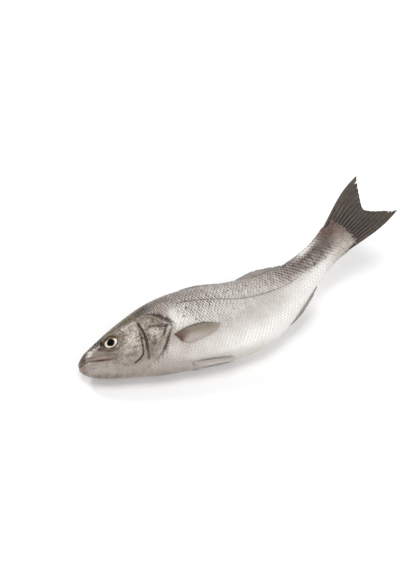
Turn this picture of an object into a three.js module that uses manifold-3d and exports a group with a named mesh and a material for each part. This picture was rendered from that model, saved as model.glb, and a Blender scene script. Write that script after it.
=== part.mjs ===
// A whole raw sea bass, lying on its right side with its tail raised.
//
// Millimetres, +Z up. The table is the plane z = 0. The head points to -X, the tail to +X,
// the belly faces -Y and the left flank is uppermost. The origin is the point of the table
// under the spine at REST_STATION, inside the flattened patch that the fish lies on.
//
// Places on the fish are given as a station and an angle. A station is a share of BODY_LENGTH
// along the spine, 0 at the snout and 1 at the tail fin's base. The angle runs round the
// cross-section of a flank: 90 is the back, 0 the widest level and -90 the belly.

import * as THREE from "three";
import { mergeVertices } from "three/addons/utils/BufferGeometryUtils.js";
import Module from "manifold-3d";

const wasm = await Module();
wasm.setup();

// ---------------------------------------------------------------- driving dimensions

const BODY_LENGTH = 306; // snout to tail fin base, along the spine
const BODY_DEPTH = 85.5; // back to belly, at the deepest
const BODY_WIDTH = 45; // flank to flank, at the widest
const SNOUT_ROUNDING = 9; // length over which the snout rounds out
const PEDUNCLE_ROUNDING = 11; // length over which the flesh rounds off at the tail fin
const SETTLE = 2.5; // how much the flank is flattened by its own weight
const REST_STATION = 0.26; // the spine is above the origin here

const EYE_DIAMETER = 14.5; // visible disc
const EYE_BULGE = 2.2; // how far the disc stands out of the head
const EYE_DEPTH = 9; // how far the eyeball reaches in
const MOUTH_GROOVE = 0.8; // radius of the closed mouth's line
const GILL_GROOVE = 0.9; // radius of the slit behind the gill cover

const TAIL_FIN_LENGTH = 56; // base to lobe tips, along the spine
const TAIL_UPPER_LOBE = 29.5; // height of the upper lobe's tip above the spine
const TAIL_LOWER_LOBE = 26; // depth of the lower lobe's tip below it
const TAIL_FIN_NOTCH = 23.5; // depth of the fork
const TAIL_FIN_THICKNESS = 2.6; // at the base
const DORSAL_HEIGHT = 2.6; // the spiny fin, folded down
const SOFT_DORSAL_HEIGHT = 8; // the soft fin behind it
const ANAL_HEIGHT = 3;
const PECTORAL_LENGTH = 43; // base to tip
const PECTORAL_LIFT = 3; // how far its tip stands off the flank
const PELVIC_LENGTH = 40;
const PELVIC_LIFT = 1;
const FIN_THICKNESS = 1.3;
const FIN_EDGE_THICKNESS = 0.8;

const SEAM = 0.3; // clearance between neighbouring pieces
const BED_MARGIN = 0.5; // clearance round the fin that is pressed under the fish

// Colours, roughness and metalness of the pieces.
const SKIN = { color: 0xcac6c0, roughness: 0.32, metalness: 0.25 };
const FIN = { color: 0x8f8578, roughness: 0.45, metalness: 0.05 };
const TAIL = { color: 0x5b544d, roughness: 0.5, metalness: 0.05 };
const EYE = { color: 0x1a1a18, roughness: 0.08, metalness: 0 };

// Rows of PROFILE: station; heights of the back and the belly from the spine, as shares of
// BODY_DEPTH; half width, as a share of BODY_WIDTH; height of the widest level, share of BODY_DEPTH.
const PROFILE = smooth([
  [0.0, 0.065, 0.105, 0.14, 0.0],
  [0.03, 0.13, 0.16, 0.21, 0.0],
  [0.07, 0.21, 0.22, 0.285, 0.012],
  [0.12, 0.3, 0.27, 0.35, 0.025],
  [0.18, 0.388, 0.322, 0.412, 0.035],
  [0.26, 0.478, 0.396, 0.467, 0.045],
  [0.34, 0.512, 0.438, 0.49, 0.035],
  [0.42, 0.496, 0.478, 0.5, 0.014],
  [0.5, 0.445, 0.507, 0.49, -0.01],
  [0.59, 0.38, 0.497, 0.455, -0.022],
  [0.67, 0.304, 0.427, 0.39, -0.012],
  [0.75, 0.241, 0.313, 0.3, 0.0],
  [0.83, 0.206, 0.219, 0.212, 0.0],
  [0.91, 0.198, 0.183, 0.135, 0.0],
  [1.0, 0.248, 0.218, 0.055, 0.0],
]);

// Rows of BEND: station; heading of the spine in the table's plane, its climb off the table and
// the roll of the back away from the table, all in degrees.
const BEND = smooth([
  [0.0, -8.0, 1.5, 13],
  [0.16, -6.5, 3.0, 13],
  [0.33, -4.5, 3.0, 13],
  [0.49, -3.0, 3.0, 13],
  [0.65, 5.5, 7.0, 13],
  [0.82, 15.5, 13.0, 12],
  [1.0, 19.5, 18.0, 10],
  [1.25, 19.0, 20.0, 10],
]);

// ---------------------------------------------------------------- curves and frames

// A smooth curve through rows of [key, value, value, ...]: a function from key to the values.
function smooth(rows) {
  const columns = rows[0].length - 1;
  const slope = (a, b, c) => (rows[b][c] - rows[a][c]) / (rows[b][0] - rows[a][0]);
  const tangent = (i, c) => {
    if (i === 0) return slope(0, 1, c);
    if (i === rows.length - 1) return slope(i - 1, i, c);
    const before = rows[i][0] - rows[i - 1][0];
    const after = rows[i + 1][0] - rows[i][0];
    return (slope(i - 1, i, c) * after + slope(i, i + 1, c) * before) / (before + after);
  };
  return (key) => {
    let i = 0;
    while (i < rows.length - 2 && key > rows[i + 1][0]) i += 1;
    const span = rows[i + 1][0] - rows[i][0];
    const u = (key - rows[i][0]) / span;
    return Array.from({ length: columns }, (_, k) => {
      const c = k + 1;
      return (
        (2 * u ** 3 - 3 * u ** 2 + 1) * rows[i][c] +
        (u ** 3 - 2 * u ** 2 + u) * span * tangent(i, c) +
        (3 * u ** 2 - 2 * u ** 3) * rows[i + 1][c] +
        (u ** 3 - u ** 2) * span * tangent(i + 1, c)
      );
    });
  };
}

const radians = THREE.MathUtils.degToRad;
const lerp = THREE.MathUtils.lerp;

// The spine as a chain of frames: point, tangent (to the tail), up (to the back), side (to the
// left flank). It is walked in short straight steps from the snout past the tail fin's tips.
const SPINE_STEPS = 480;
const SPINE_END = 1.3;
const spine = walkSpine();

function spineFrame(station, point) {
  const [heading, climb, roll] = BEND(station).map(radians);
  const tangent = new THREE.Vector3(
    Math.cos(heading) * Math.cos(climb),
    Math.sin(heading) * Math.cos(climb),
    Math.sin(climb),
  );
  const level = new THREE.Vector3(-Math.sin(heading), Math.cos(heading), 0);
  const up = level.applyAxisAngle(tangent, roll);
  return { point, tangent, up, side: new THREE.Vector3().crossVectors(tangent, up) };
}

function walkSpine() {
  const step = SPINE_END / SPINE_STEPS;
  const frames = [spineFrame(0, new THREE.Vector3())];
  for (let i = 1; i <= SPINE_STEPS; i += 1) {
    const last = frames[i - 1];
    const point = last.point.clone().addScaledVector(last.tangent, step * BODY_LENGTH);
    frames.push(spineFrame(i * step, point));
  }
  return frames;
}

function frameAt(station) {
  const at = THREE.MathUtils.clamp(station / SPINE_END, 0, 0.9999) * SPINE_STEPS;
  const i = Math.floor(at);
  const mix = (key) => spine[i][key].clone().lerp(spine[i + 1][key], at - i);
  return {
    point: mix("point"),
    tangent: mix("tangent").normalize(),
    up: mix("up").normalize(),
    side: mix("side").normalize(),
  };
}

// ---------------------------------------------------------------- the body's surface

// How much of its full cross-section the body has at a station: it rounds off at both ends.
function rounding(station) {
  const fromSnout = Math.min((station * BODY_LENGTH) / SNOUT_ROUNDING, 1);
  return Math.sqrt(Math.max(0, 1 - (1 - fromSnout) ** 2));
}

// Half height and half thickness left at the tail end, where the flesh ends in an arc.
function tailRounding(station) {
  const toEnd = Math.min(((1 - station) * BODY_LENGTH) / PEDUNCLE_ROUNDING, 1);
  return Math.sqrt(Math.max(0, 1 - (1 - toEnd) ** 2));
}

// Sizes of the cross-section at a station, in millimetres, grown all round by `grow`.
function section(station, grow = 0) {
  const [back, belly, half, level] = PROFILE(station);
  const r = rounding(station);
  const t = tailRounding(station);
  return {
    back: back * BODY_DEPTH * r * t + grow,
    belly: belly * BODY_DEPTH * r * t + grow,
    half: half * BODY_WIDTH * r * Math.sqrt(t) + grow,
    level: level * BODY_DEPTH * r * t,
  };
}

// Height and sideways reach of the skin at an angle, measured from the spine.
function skinOffsets(station, angle, grow = 0) {
  const { back, belly, half, level } = section(station, grow);
  const a = radians(angle);
  const height = Math.sin(a) > 0 ? back - level : belly + level;
  return { height: level + height * Math.sin(a), reach: half * Math.cos(a) };
}

// A point `off` outside the skin. side is 1 for the left flank and -1 for the right one.
function onSkin(station, angle, side = 1, off = 0) {
  const { point, up, side: left } = frameAt(station);
  const { height, reach } = skinOffsets(station, angle, off);
  return point
    .clone()
    .addScaledVector(up, height)
    .addScaledVector(left, reach * side);
}

// The outward normal of the skin, from the surface's own slopes.
function skinNormal(station, angle, side) {
  const ds = 0.002;
  const da = 0.5;
  const along = onSkin(station + ds, angle, side).sub(onSkin(station - ds, angle, side));
  const round = onSkin(station, angle + da, side).sub(onSkin(station, angle - da, side));
  return along.cross(round).multiplyScalar(side).normalize();
}

// A point of the fish's middle plane, `height` from the spine and `off` to the left of it.
function onMiddle(station, height, off = 0) {
  const { point, up, side } = frameAt(station);
  return point.clone().addScaledVector(up, height).addScaledVector(side, off);
}

// ---------------------------------------------------------------- meshes and booleans

function geometryFrom(points, triangles) {
  const positions = new Float32Array(points.flatMap((p) => p.toArray()));
  return new THREE.BufferGeometry()
    .setAttribute("position", new THREE.BufferAttribute(positions, 3))
    .setIndex(triangles);
}

function solidFrom(geometry) {
  const bare = geometry.clone();
  bare.deleteAttribute("normal");
  bare.deleteAttribute("uv");
  const merged = mergeVertices(bare, 1e-4);
  return new wasm.Manifold(
    new wasm.Mesh({
      numProp: 3,
      vertProperties: new Float32Array(merged.attributes.position.array),
      triVerts: new Uint32Array(merged.index.array),
    }),
  );
}

function geometryOf(solid) {
  const { vertProperties, triVerts } = solid.getMesh();
  const geometry = new THREE.BufferGeometry()
    .setAttribute("position", new THREE.BufferAttribute(vertProperties, 3))
    .setIndex(new THREE.BufferAttribute(triVerts, 1));
  geometry.computeVertexNormals();
  return geometry;
}

// A closed skin over rings of points, fanned to one point at each end. The rings run
// counter-clockwise seen from the first end.
function loft(first, rings, last) {
  const count = rings[0].length;
  const points = [first, ...rings.flat(), last];
  const at = (ring, k) => 1 + ring * count + (k % count);
  const end = points.length - 1;
  const triangles = [];
  for (let k = 0; k < count; k += 1) {
    triangles.push(0, at(0, k + 1), at(0, k));
    for (let ring = 0; ring < rings.length - 1; ring += 1) {
      const [a, b] = [at(ring, k), at(ring, k + 1)];
      const [c, d] = [at(ring + 1, k), at(ring + 1, k + 1)];
      triangles.push(a, b, c, b, d, c);
    }
    triangles.push(end, at(rings.length - 1, k), at(rings.length - 1, k + 1));
  }
  return geometryFrom(points, triangles);
}

// A closed plate over a grid: point(u, v, face) gives its two faces, at face 1 and -1.
function plate(point, across, along) {
  const points = [];
  for (const face of [1, -1])
    for (let i = 0; i <= across; i += 1)
      for (let j = 0; j <= along; j += 1) points.push(point(i / across, j / along, face));
  const half = (across + 1) * (along + 1);
  const at = (i, j) => i * (along + 1) + j;
  const triangles = [];
  for (let i = 0; i < across; i += 1)
    for (let j = 0; j < along; j += 1) {
      const [a, b, c, d] = [at(i, j), at(i + 1, j), at(i + 1, j + 1), at(i, j + 1)];
      triangles.push(a, b, c, a, c, d, half + a, half + c, half + b, half + a, half + d, half + c);
    }
  const rim = [];
  for (let i = 0; i < across; i += 1) rim.push(at(i, 0));
  for (let j = 0; j < along; j += 1) rim.push(at(across, j));
  for (let i = across; i > 0; i -= 1) rim.push(at(i, along));
  for (let j = along; j > 0; j -= 1) rim.push(at(0, j));
  rim.forEach((a, k) => {
    const b = rim[(k + 1) % rim.length];
    triangles.push(b, a, half + b, a, half + a, half + b);
  });
  return geometryFrom(points, triangles);
}

// A plate comes out inside in or inside out with the way its fin faces.
function plateSolid(point, across, along) {
  const geometry = plate(point, across, along);
  const solid = solidFrom(geometry);
  if (solid.volume() > 0) return solid;
  const index = geometry.index.array;
  for (let i = 0; i < index.length; i += 3) [index[i], index[i + 1]] = [index[i + 1], index[i]];
  return solidFrom(geometry);
}

// A round rod along points, for cutting grooves.
function rod(points, radius, steps) {
  const circle = new THREE.Shape().absarc(0, 0, radius, 0, 2 * Math.PI);
  const path = new THREE.CatmullRomCurve3(points);
  const options = { steps, extrudePath: path, curveSegments: 3, bevelEnabled: false };
  return solidFrom(new THREE.ExtrudeGeometry(circle, options));
}

// ---------------------------------------------------------------- the body

const BODY_RINGS = 62;
const RING_POINTS = 40;

// Stations crowd together towards both rounded ends.
const bodyStations = Array.from({ length: BODY_RINGS }, (_, i) => {
  const u = (i + 1) / (BODY_RINGS + 1);
  return lerp(u, (1 - Math.cos(Math.PI * u)) / 2, 0.75);
});

// The plain body, with no openings, grown all round by `grow`.
function plainBody(grow = 0) {
  const rings = bodyStations.map((station) =>
    Array.from({ length: RING_POINTS }, (_, k) => {
      const turn = (k / RING_POINTS) * 360;
      const side = turn <= 180 ? 1 : -1;
      const angle = turn <= 180 ? 90 - turn : turn - 270;
      return onSkin(station, angle, side, grow);
    }),
  );
  const first = onMiddle(0, 0).addScaledVector(frameAt(0).tangent, -grow);
  const last = onMiddle(1, 0).addScaledVector(frameAt(1).tangent, grow);
  return solidFrom(loft(first, rings, last));
}

// Where the eyes, the mouth and the gill slit lie: [station, angle].
const EYE_PLACE = [0.121, 25];
const MOUTH_LINE = [
  [0.012, -16],
  [0.045, -16],
  [0.085, -13],
  [0.118, -19],
];
const GILL_LINE = [
  [0.252, 50],
  [0.29, 31],
  [0.321, 10],
  [0.327, 4],
  [0.314, -7],
  [0.297, -17],
  [0.281, -27],
  [0.258, -37],
  [0.219, -50],
  [0.186, -66],
];

function eyePose(side) {
  const [station, angle] = EYE_PLACE;
  const out = skinNormal(station, angle, side);
  const turn = new THREE.Quaternion().setFromUnitVectors(new THREE.Vector3(0, 1, 0), out);
  return { place: onSkin(station, angle, side), turn };
}

// The eyeball as a body of revolution about +Y, with the skin's level at y = 0. Its front is a
// shallow dome of the visible diameter and its back a deeper bowl.
function eyeball(grow = 0) {
  const radius = EYE_DIAMETER / 2 + grow;
  const points = [];
  const STEPS = 10;
  for (let i = 0; i <= STEPS; i += 1) {
    const a = (i / STEPS) * Math.PI - Math.PI / 2;
    const height = a > 0 ? EYE_BULGE + grow : EYE_DEPTH + grow;
    points.push(new THREE.Vector2(radius * Math.cos(a), height * Math.sin(a)));
  }
  points[0].x = 0;
  points[STEPS].x = 0;
  return new THREE.LatheGeometry(points, 24);
}

function eyeSocket(side) {
  const { place, turn } = eyePose(side);
  const matrix = new THREE.Matrix4().compose(place, turn, new THREE.Vector3(1, 1, 1));
  return solidFrom(eyeball(SEAM).applyMatrix4(matrix));
}

// The mouth runs round the snout from one side to the other.
function mouthGroove() {
  const left = MOUTH_LINE.map(([station, angle]) => onSkin(station, angle, 1));
  const right = MOUTH_LINE.map(([station, angle]) => onSkin(station, angle, -1));
  return rod([...left.reverse(), ...right], MOUTH_GROOVE, 26);
}

function gillGroove(side) {
  const points = GILL_LINE.map(([station, angle]) => onSkin(station, angle, side));
  return rod(points, GILL_GROOVE, 30);
}

// ---------------------------------------------------------------- the fins

// Each fin is a fan of rays. v runs over the rays from the leading one, at 0, to the last, at 1,
// and u along a ray from the base, at 0, to the fin's margin, at 1.

const EDGE_FULLNESS = 0.7; // less than 1 lifts both ends of a folded fin's edge

const finThickness = (u) => lerp(FIN_THICKNESS, FIN_EDGE_THICKNESS, u);

const TAIL_ROOT = 15; // how far forward the outer rays reach along the edges of the flesh
const TAIL_MIDDLE_ROOT = 2; // and the middle ray, from the flesh's end
const TAIL_EDGE_BOW = 3; // how far the fin's outer edges bulge
const TAIL_INSET = 1; // how deep the rays' roots lie inside the flesh
const FORK_SHAPE = 1.25; // 1 gives the fork straight margins, more rounds its middle
const RAY_SPREAD = 1.1; // 1 spaces the rays' tips evenly, more crowds them in the middle
const TAIL_THINNING = 0.7; // 1 thins the tail fin evenly to its margin, less thins it early

// A point of a tail fin ray in the middle plane: distance behind the flesh's end and height from
// the spine. v = 0 is the upper lobe's edge and v = 1 the lower one's.
function tailRay(u, v) {
  const across = 1 - 2 * v;
  const outer = Math.abs(across);
  const rootBack = -lerp(TAIL_ROOT, TAIL_MIDDLE_ROOT, Math.sqrt(1 - outer ** 2));
  const [back, belly] = PROFILE(1 + rootBack / BODY_LENGTH);
  const rootHeight = across * ((across > 0 ? back : belly) * BODY_DEPTH - TAIL_INSET);
  const tipBack = TAIL_FIN_LENGTH - TAIL_FIN_NOTCH * (1 - outer ** FORK_SHAPE);
  const lobe = across > 0 ? TAIL_UPPER_LOBE : -TAIL_LOWER_LOBE;
  const tipHeight = lobe * outer ** RAY_SPREAD;
  return {
    back: lerp(rootBack, tipBack, u),
    height: lerp(rootHeight, tipHeight, u) + TAIL_EDGE_BOW * across * Math.sin(Math.PI * u),
  };
}

function tailFin() {
  const point = (v, u, face) => {
    const { back, height } = tailRay(u, v);
    const thickness = lerp(TAIL_FIN_THICKNESS, FIN_EDGE_THICKNESS, u ** TAIL_THINNING);
    return onMiddle(1 + back / BODY_LENGTH, height, (face * thickness) / 2);
  };
  return plateSolid(point, 32, 8);
}

// A folded fin on the middle line. edge is 1 on the back and -1 on the belly.
function middleFin({ from, to, sweep, height, edge, peak }) {
  const lean = Math.log(0.5) / Math.log(peak);
  const point = (v, u, face) => {
    const station = lerp(from, to, v) + (u * sweep) / BODY_LENGTH;
    const { back, belly } = section(station);
    const skin = edge > 0 ? back : belly;
    const rise = height * Math.sin(Math.PI * v ** lean) ** EDGE_FULLNESS;
    const reach = skin - FIN_THICKNESS + u * (rise + FIN_THICKNESS + SEAM);
    return onMiddle(station, edge * reach, (face * finThickness(u)) / 2);
  };
  return plateSolid(point, 18, 3);
}

// Where the rays of a fin on a flank run: a function from ray and place on it to a station and an
// angle. base and margin are places on the skin; length is measured from the middle of the base to
// the farthest point of the margin, and bow is how far the leading ray arches up.
function flankRays({ base, margin, length, bow }) {
  const [top, bottom] = base;
  const middle = (top[0] + bottom[0]) / 2;
  const outline = smooth(margin);
  return (v, u) => {
    const [reach, angle] = outline(v);
    const tip = middle + (reach * length) / BODY_LENGTH;
    const arch = bow * (1 - v) * Math.sin(Math.PI * u);
    return [
      lerp(lerp(top[0], bottom[0], v), tip, u),
      lerp(lerp(top[1], bottom[1], v), angle, u) + arch,
    ];
  };
}

// A fin that lies along a flank, its tip standing off by lift.
function flankFin(fin, side, lift) {
  const rays = flankRays(fin);
  const point = (v, u, face) => {
    const inner = SEAM + lift * Math.sin((Math.PI * u) / 2) ** 2;
    return onSkin(...rays(v, u), side, face > 0 ? inner + finThickness(u) : inner);
  };
  return plateSolid(point, 10, 7);
}

// A fin that is caught between the right flank and the table, and pressed flat.
function pressedFin(fin, table) {
  const rays = flankRays(fin);
  const point = (v, u, face) => {
    const { x, y } = onSkin(...rays(v, u), -1);
    return new THREE.Vector3(x, y, face > 0 ? table : table + finThickness(u));
  };
  return plateSolid(point, 10, 7);
}

// The hollow that a pressed fin makes in the flesh: the fin with a clearance all round, and open
// to the table below.
function bedOf(fin) {
  const moves = [
    [BED_MARGIN, 0, -SEAM],
    [-BED_MARGIN, 0, -SEAM],
    [0, BED_MARGIN, -SEAM],
    [0, -BED_MARGIN, -SEAM],
    [0, 0, -SEAM],
  ];
  return moves.reduce((bed, move) => bed.add(fin.translate(move)), fin.translate([0, 0, SEAM]));
}

const PECTORAL = {
  base: [
    [0.323, -10],
    [0.337, -22],
  ],
  // Rows of margin: ray; reach as a share of the fin's length; angle on the skin.
  margin: [
    [0, 0.86, -10],
    [0.25, 1.0, -17],
    [0.5, 0.93, -22],
    [0.75, 0.68, -27],
    [1, 0.24, -31],
  ],
  bow: 5,
  length: PECTORAL_LENGTH,
};
const PELVIC = {
  base: [
    [0.35, -64],
    [0.36, -74],
  ],
  margin: [
    [0, 0.92, -70],
    [0.3, 1.0, -75],
    [0.6, 0.9, -80],
    [1, 0.45, -84],
  ],
  bow: 3,
  length: PELVIC_LENGTH,
};

// The folded fins on the middle line: the stations of the base, how far the rays trail back,
// the height at the peak, which edge of the fish they are on, and where the peak is, as a share
// of the base.
const SPINY_DORSAL = {
  from: 0.345,
  to: 0.5,
  sweep: 14,
  height: DORSAL_HEIGHT,
  edge: 1,
  peak: 0.46,
};
const SOFT_DORSAL = {
  from: 0.565,
  to: 0.715,
  sweep: 18,
  height: SOFT_DORSAL_HEIGHT,
  edge: 1,
  peak: 0.37,
};
const ANAL = {
  from: 0.65,
  to: 0.775,
  sweep: 14,
  height: ANAL_HEIGHT,
  edge: -1,
  peak: 0.37,
};

// ---------------------------------------------------------------- assembly

// The fish sinks into the table until its flank is flattened by SETTLE: the table's height in
// the frame that the spine starts from.
function tableUnder(solid) {
  return solid.boundingBox().min[2] + SETTLE;
}

function makeFins() {
  return {
    spiny_dorsal_fin: middleFin(SPINY_DORSAL),
    soft_dorsal_fin: middleFin(SOFT_DORSAL),
    anal_fin: middleFin(ANAL),
    tail_fin: tailFin(),
    left_pectoral_fin: flankFin(PECTORAL, 1, PECTORAL_LIFT),
    left_pelvic_fin: flankFin(PELVIC, 1, PELVIC_LIFT),
    right_pelvic_fin: flankFin(PELVIC, -1, PELVIC_LIFT),
  };
}

function makePieces(table, plain) {
  const pressed = pressedFin(PECTORAL, table);
  const hollows = [
    mouthGroove(),
    gillGroove(1),
    gillGroove(-1),
    eyeSocket(1),
    eyeSocket(-1),
    bedOf(pressed),
  ];
  const body = hollows.reduce((solid, hollow) => solid.subtract(hollow), plain);
  const pieces = { body: body.trimByPlane([0, 0, 1], table), right_pectoral_fin: pressed };
  const cutter = plainBody(SEAM);
  for (const [name, fin] of Object.entries(makeFins())) pieces[name] = fin.subtract(cutter);
  return pieces;
}

function mesh(name, geometry, finish) {
  const made = new THREE.Mesh(geometry, new THREE.MeshStandardMaterial(finish));
  made.name = name;
  return made;
}

function makeFish() {
  const plain = plainBody();
  const table = tableUnder(plain);
  const rest = frameAt(REST_STATION).point;
  const finishes = { body: SKIN, tail_fin: TAIL };
  const fish = new THREE.Group();
  fish.position.set(-rest.x, -rest.y, -table);
  for (const [name, solid] of Object.entries(makePieces(table, plain)))
    fish.add(mesh(name, geometryOf(solid), finishes[name] ?? FIN));
  for (const [name, side] of [
    ["left_eye", 1],
    ["right_eye", -1],
  ]) {
    const { place, turn } = eyePose(side);
    const eye = mesh(name, eyeball(), EYE);
    eye.position.copy(place);
    eye.quaternion.copy(turn);
    fish.add(eye);
  }
  return fish;
}

const fish = makeFish();
export default fish;
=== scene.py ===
"""A whole raw sea bass on a plain pale floor, modelled over its CAD frame.

The fish is made by measures: a place on its skin is a distance along the spine from the
snout, in millimetres, and an angle round the cross-section of one side, 90 on the back, 0 at
the widest level and -90 on the belly. Those measures are the same as the CAD part's.
"""

import math

import bpy
import numpy as np
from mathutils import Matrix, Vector


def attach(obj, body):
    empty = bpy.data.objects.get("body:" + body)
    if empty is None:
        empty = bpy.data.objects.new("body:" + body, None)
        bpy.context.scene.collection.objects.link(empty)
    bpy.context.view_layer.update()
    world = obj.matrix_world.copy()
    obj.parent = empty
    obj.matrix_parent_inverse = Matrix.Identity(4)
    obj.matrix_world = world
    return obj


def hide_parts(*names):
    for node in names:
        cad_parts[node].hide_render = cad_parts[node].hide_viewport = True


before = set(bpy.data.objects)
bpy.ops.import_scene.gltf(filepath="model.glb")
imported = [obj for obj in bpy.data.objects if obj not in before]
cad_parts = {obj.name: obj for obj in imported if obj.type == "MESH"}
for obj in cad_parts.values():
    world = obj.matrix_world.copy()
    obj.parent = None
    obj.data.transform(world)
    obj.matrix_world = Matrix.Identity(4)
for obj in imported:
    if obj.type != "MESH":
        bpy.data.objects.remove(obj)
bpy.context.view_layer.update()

MM = 0.001
LEFT, RIGHT = 1, -1

# ---- the fish's measures, in mm

BODY_LENGTH = 306
BODY_DEPTH = 85.5
BODY_WIDTH = 45
SNOUT_ROUNDING = 9
PEDUNCLE_ROUNDING = 11
SETTLE = 2.5
REST_STATION = 0.26

EYE_PLACE = (37.0, 21.5)
EYE_RADIUS = 7.25
EYE_BULGE = 2.2
EYE_DEPTH = 8.0

TAIL_FIN_LENGTH = 56
TAIL_UPPER_LOBE = 29.5
TAIL_LOWER_LOBE = 26
TAIL_FIN_NOTCH = 23.5
TAIL_ROOT = 15
TAIL_MIDDLE_ROOT = 2
TAIL_EDGE_BOW = 3
TAIL_INSET = 1
TAIL_RAYS = 14
PECTORAL_LENGTH = 43
PELVIC_LENGTH = 40

# station; heights of the back and of the belly, as shares of the depth; half width, as a share of
# the width; level of the widest point, as a share of the depth
PROFILE = [
    (0.0, 0.065, 0.105, 0.14, 0.0),
    (0.03, 0.13, 0.16, 0.21, 0.0),
    (0.07, 0.21, 0.22, 0.285, 0.012),
    (0.12, 0.3, 0.27, 0.35, 0.025),
    (0.18, 0.388, 0.322, 0.412, 0.035),
    (0.26, 0.478, 0.396, 0.467, 0.045),
    (0.34, 0.512, 0.438, 0.49, 0.035),
    (0.42, 0.496, 0.478, 0.5, 0.014),
    (0.5, 0.445, 0.507, 0.49, -0.01),
    (0.59, 0.38, 0.497, 0.455, -0.022),
    (0.67, 0.304, 0.427, 0.39, -0.012),
    (0.75, 0.241, 0.313, 0.3, 0.0),
    (0.83, 0.206, 0.219, 0.212, 0.0),
    (0.91, 0.198, 0.183, 0.135, 0.0),
    (1.0, 0.248, 0.218, 0.055, 0.0),
]

# station; heading, climb and roll of the spine, in degrees
BEND = [
    (0.0, -8.0, 1.5, 13),
    (0.16, -6.5, 3.0, 13),
    (0.33, -4.5, 3.0, 13),
    (0.49, -3.0, 3.0, 13),
    (0.65, 5.5, 7.0, 13),
    (0.82, 15.5, 13.0, 12),
    (1.0, 19.5, 18.0, 10),
    (1.25, 19.0, 20.0, 10),
]

# Lines drawn on the side of the fish: distance from the snout, height above the spine.
LATERAL_LINE = [
    (70, 31.5), (95, 29.8), (114, 26.5), (135, 21.6), (154, 15.4), (169, 9.2),
    (184, 4.9), (205, 0.7), (228, -2.6), (255, -1.5), (306, 0.5),
]
MOUTH = [(-1, -2.6), (5, -1.8), (11, -1.6), (17, -2.7), (23, -4.2), (29, -5.6), (35, -6.6)]
MAXILLA = [(13, 0.9), (22, 0.8), (30, -0.2), (36, -1.9), (38.5, -4.4), (37, -6.8)]
PREOPERCLE = [
    (68, 20), (67.6, 14), (67, 6.7), (66.3, 0),
    (65.4, -6.5), (63.8, -11.8), (60, -14.3), (54, -16.6),
]
INTEROPERCLE = [
    (68.8, 19), (70.2, 11), (70.8, 4), (70.7, -1), (69.6, -7), (68.6, -12), (67.8, -17),
]
SUBOPERCLE = [(95, 8), (92, 3.6), (89, -0.5), (86, -4.5), (82, -9), (76, -13)]
OPERCLE_RIB = [(72, 13), (80, 11.8), (88, 9.6), (94, 7.6), (99.5, 6.4)]
UPPER_RIB = [(73, 26), (80, 22.5), (87, 17), (91, 12)]
JAW_FOLD = [(10, -9), (25, -12), (40, -14.5), (56, -18)]
THROAT_FOLD = [(34, -18), (50, -21.5), (66, -24)]
NAPE_LINE = [(47, 20), (56, 25.5), (66, 27), (78, 30)]
EYE_CREASE = [(24, 7), (30, 3), (35, 1.3), (41, 1), (46, 3.6), (50, 8.5), (51.5, 15), (48, 20)]
NOSTRILS = [((22.0, 15.2), 0.8), ((28.2, 13.2), 1.1)]
PECTORAL_ROOT = [(98.5, -4.5), (103.5, -11.5)]

# Soft lighter and darker patches: distance and height of the middle, half length, half height,
# and how much lighter they are.
PATCHES = [
    # These four rows are a painted highlight on the side of the snout.
    (14, 8.5, 4.5, 2.4, 70),
    (12.5, 4.8, 4, 2, 75),
    (19, 10, 3, 2, 60),
    (16, 7, 9, 4.5, 16),
    (8, 1, 6, 3, -18),
    (32, 20.5, 9, 4, -80),
    (38, 18, 9, 3.4, -85),
    # These two rows darken the nostrils: painted shade in their hollows, with their dark skin.
    (28, 13, 2.8, 5.5, -85),
    (22.5, 15.6, 5, 2, -62),
    # A painted highlight along the top of the tail's root.
    (267, 14.8, 25, 3.8, 115),
    (264, 8, 26, 3.6, -8),
    (262, -3, 24, 1.8, -30),
    (296, 11, 11, 8, -44),
    (26, -4, 10, 2.6, -18),
    (2.5, -2, 3, 1.8, -45),
    (4, -8, 3, 2.5, -20),
    (55, 17, 11, 10, 14),
    (58, 4, 8, 9, 12),
    (54, -8, 10, 4.5, -22),
    (69, 2, 3, 14, -26),
    (73.5, 5, 3, 9, -38),
    (81, 6, 7, 6.5, 40),
    (78, -4.5, 4, 4.5, -34),
    (84, 0, 5, 4, 16),
    (72, -12, 5, 6, -20),
    (85, 18, 7, 4, -14),
    (83, 30, 9, 4.5, -20),
    (76, 39, 6, 4, -16),
    (62, 29, 14, 3.5, -24),
    (102, 14, 9, 15, 22),
    (98, 6, 3, 2, 30),
]

# Dark skin and painted shade round the nostrils' hollows: middle, half length, half height, how
# dark.
NOSTRIL_DARK_AND_SHADE = [
    (28.2, 13, 2.2, 3.6, 1.2),
    (22.5, 15.6, 4, 1.5, 0.8),
]

# The sines of the angles that the next two tables run through, from the belly to the back.
LEVELS = np.array([-1, -0.8, -0.5, -0.2, 0.1, 0.4, 0.7, 1])

# How light the side is, 0 to 255: distance from the snout, then levels from the back to the belly.
LIGHTEST = 255
BACK_DARKENING = 55
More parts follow.
